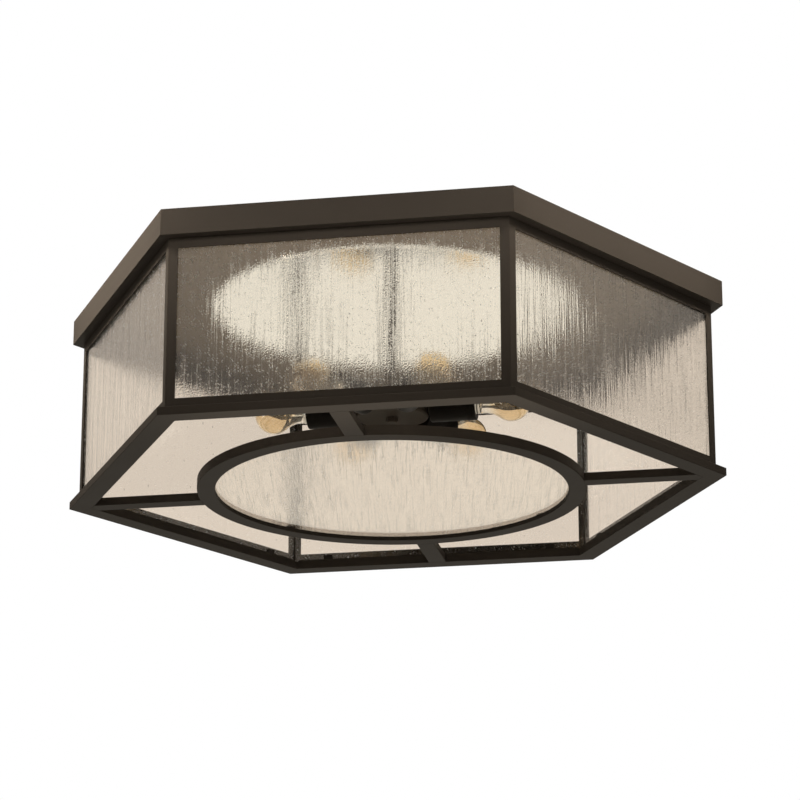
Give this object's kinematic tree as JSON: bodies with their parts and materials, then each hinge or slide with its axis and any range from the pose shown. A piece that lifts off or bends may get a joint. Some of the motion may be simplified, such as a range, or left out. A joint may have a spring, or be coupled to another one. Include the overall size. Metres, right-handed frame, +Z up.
{
  "type": "flush mount ceiling light",
  "caption": "Hexagonal flush mount ceiling light: dark bronze cage with seeded glass panes, open bottom frame with a round glass, and a radial lamp cluster.",
  "frame": {"origin": "centre of the ceiling face, on top of the canopy pan, between the two ceiling box screws", "axes": "+Z up into the ceiling, +X through two opposite corners of the hexagon, +Y square to two flats"},
  "size_m": [0.8176, 0.708, 0.248],
  "materials": {
    "bronze_paint": "satin dark bronze powder coat",
    "zinc_steel": "dull zinc plate",
    "black_steel": "black oxide",
    "seeded_glass": "clear seeded glass with fine drawn streaks",
    "polished_reflector": "polished",
    "black_phenolic": "black moulded",
    "terminal_insulation": "plain",
    "lead_insulation": "plain",
    "brass": "plain",
    "nickel_cap": "nickel plate",
    "amber_glass": "clear amber tint",
    "tungsten": "drawn wire"
  },
  "bodies": {
    "fixture": {"top_pan": "bronze_paint", "base_rails": "bronze_paint", "corner_posts": "bronze_paint", "lower_rails": "bronze_paint", "upper_rails": "bronze_paint", "spokes": "bronze_paint", "ring": "bronze_paint", "stem_tube": "bronze_paint", "hub_body": "bronze_paint", "hub_cover": "bronze_paint", "hub_cap_nut": "bronze_paint", "mounting_plate": "zinc_steel", "threaded_pipe": "zinc_steel", "lock_nuts": "black_steel", "socket_arms": "black_steel", "pan_screws": "black_steel", "glass_clips": "black_steel", "glass_disc": "seeded_glass", "glass_panel_1": "seeded_glass", "glass_panel_2": "seeded_glass", "glass_panel_3": "seeded_glass", "glass_panel_4": "seeded_glass", "glass_panel_5": "seeded_glass", "glass_panel_6": "seeded_glass", "reflector_dish": "polished_reflector", "lampholder_1": "black_phenolic", "lampholder_2": "black_phenolic", "lampholder_3": "black_phenolic", "lampholder_4": "black_phenolic", "lampholder_5": "black_phenolic", "lampholder_6": "black_phenolic", "terminal_ring": "terminal_insulation", "leads": "lead_insulation", "screw_shells": "brass", "socket_contacts": "brass"},
    "lamp_1_eyelet": {"lamp_1_contact": "brass"},
    "lamp_1": {"lamp_1_cap": "nickel_cap", "lamp_1_glass": "amber_glass", "lamp_1_filament": "tungsten"},
    "lamp_2_eyelet": {"lamp_2_contact": "brass"},
    "lamp_2": {"lamp_2_cap": "nickel_cap", "lamp_2_glass": "amber_glass", "lamp_2_filament": "tungsten"},
    "lamp_3_eyelet": {"lamp_3_contact": "brass"},
    "lamp_3": {"lamp_3_cap": "nickel_cap", "lamp_3_glass": "amber_glass", "lamp_3_filament": "tungsten"},
    "lamp_4_eyelet": {"lamp_4_contact": "brass"},
    "lamp_4": {"lamp_4_cap": "nickel_cap", "lamp_4_glass": "amber_glass", "lamp_4_filament": "tungsten"},
    "lamp_5_eyelet": {"lamp_5_contact": "brass"},
    "lamp_5": {"lamp_5_cap": "nickel_cap", "lamp_5_glass": "amber_glass", "lamp_5_filament": "tungsten"},
    "lamp_6_eyelet": {"lamp_6_contact": "brass"},
    "lamp_6": {"lamp_6_cap": "nickel_cap", "lamp_6_glass": "amber_glass", "lamp_6_filament": "tungsten"}
  },
  "joints": [
    {"name": "lamp_1_travel", "type": "slide", "parent": "fixture", "child": "lamp_1_eyelet", "axis": [1, 0, 0], "range_m": [0, 0.01819]},
    {"name": "lamp_1_unscrew", "type": "hinge", "parent": "lamp_1_eyelet", "child": "lamp_1", "pos_m": [0, 0, -0.14], "axis": [1, 0, 0], "range_deg": [0, 1800]},
    {"name": "lamp_2_travel", "type": "slide", "parent": "fixture", "child": "lamp_2_eyelet", "axis": [0.5, 0.866, 0], "range_m": [0, 0.01819]},
    {"name": "lamp_2_unscrew", "type": "hinge", "parent": "lamp_2_eyelet", "child": "lamp_2", "pos_m": [0, 0, -0.14], "axis": [0.5, 0.866, 0], "range_deg": [0, 1800]},
    {"name": "lamp_3_travel", "type": "slide", "parent": "fixture", "child": "lamp_3_eyelet", "axis": [-0.5, 0.866, 0], "range_m": [0, 0.01819]},
    {"name": "lamp_3_unscrew", "type": "hinge", "parent": "lamp_3_eyelet", "child": "lamp_3", "pos_m": [0, 0, -0.14], "axis": [-0.5, 0.866, 0], "range_deg": [0, 1800]},
    {"name": "lamp_4_travel", "type": "slide", "parent": "fixture", "child": "lamp_4_eyelet", "axis": [-1, 0, 0], "range_m": [0, 0.01819]},
    {"name": "lamp_4_unscrew", "type": "hinge", "parent": "lamp_4_eyelet", "child": "lamp_4", "pos_m": [0, 0, -0.14], "axis": [-1, 0, 0], "range_deg": [0, 1800]},
    {"name": "lamp_5_travel", "type": "slide", "parent": "fixture", "child": "lamp_5_eyelet", "axis": [-0.5, -0.866, 0], "range_m": [0, 0.01819]},
    {"name": "lamp_5_unscrew", "type": "hinge", "parent": "lamp_5_eyelet", "child": "lamp_5", "pos_m": [0, 0, -0.14], "axis": [-0.5, -0.866, 0], "range_deg": [0, 1800]},
    {"name": "lamp_6_travel", "type": "slide", "parent": "fixture", "child": "lamp_6_eyelet", "axis": [0.5, -0.866, 0], "range_m": [0, 0.01819]},
    {"name": "lamp_6_unscrew", "type": "hinge", "parent": "lamp_6_eyelet", "child": "lamp_6", "pos_m": [0, 0, -0.14], "axis": [0.5, -0.866, 0], "range_deg": [0, 1800]}
  ],
  "couplings": [
    {"joint": "lamp_1_travel", "follows": "lamp_1_unscrew", "m_per_rad": 0.0005775},
    {"joint": "lamp_2_travel", "follows": "lamp_2_unscrew", "m_per_rad": 0.0005775},
    {"joint": "lamp_3_travel", "follows": "lamp_3_unscrew", "m_per_rad": 0.0005775},
    {"joint": "lamp_4_travel", "follows": "lamp_4_unscrew", "m_per_rad": 0.0005775},
    {"joint": "lamp_5_travel", "follows": "lamp_5_unscrew", "m_per_rad": 0.0005775},
    {"joint": "lamp_6_travel", "follows": "lamp_6_unscrew", "m_per_rad": 0.0005775}
  ]
}
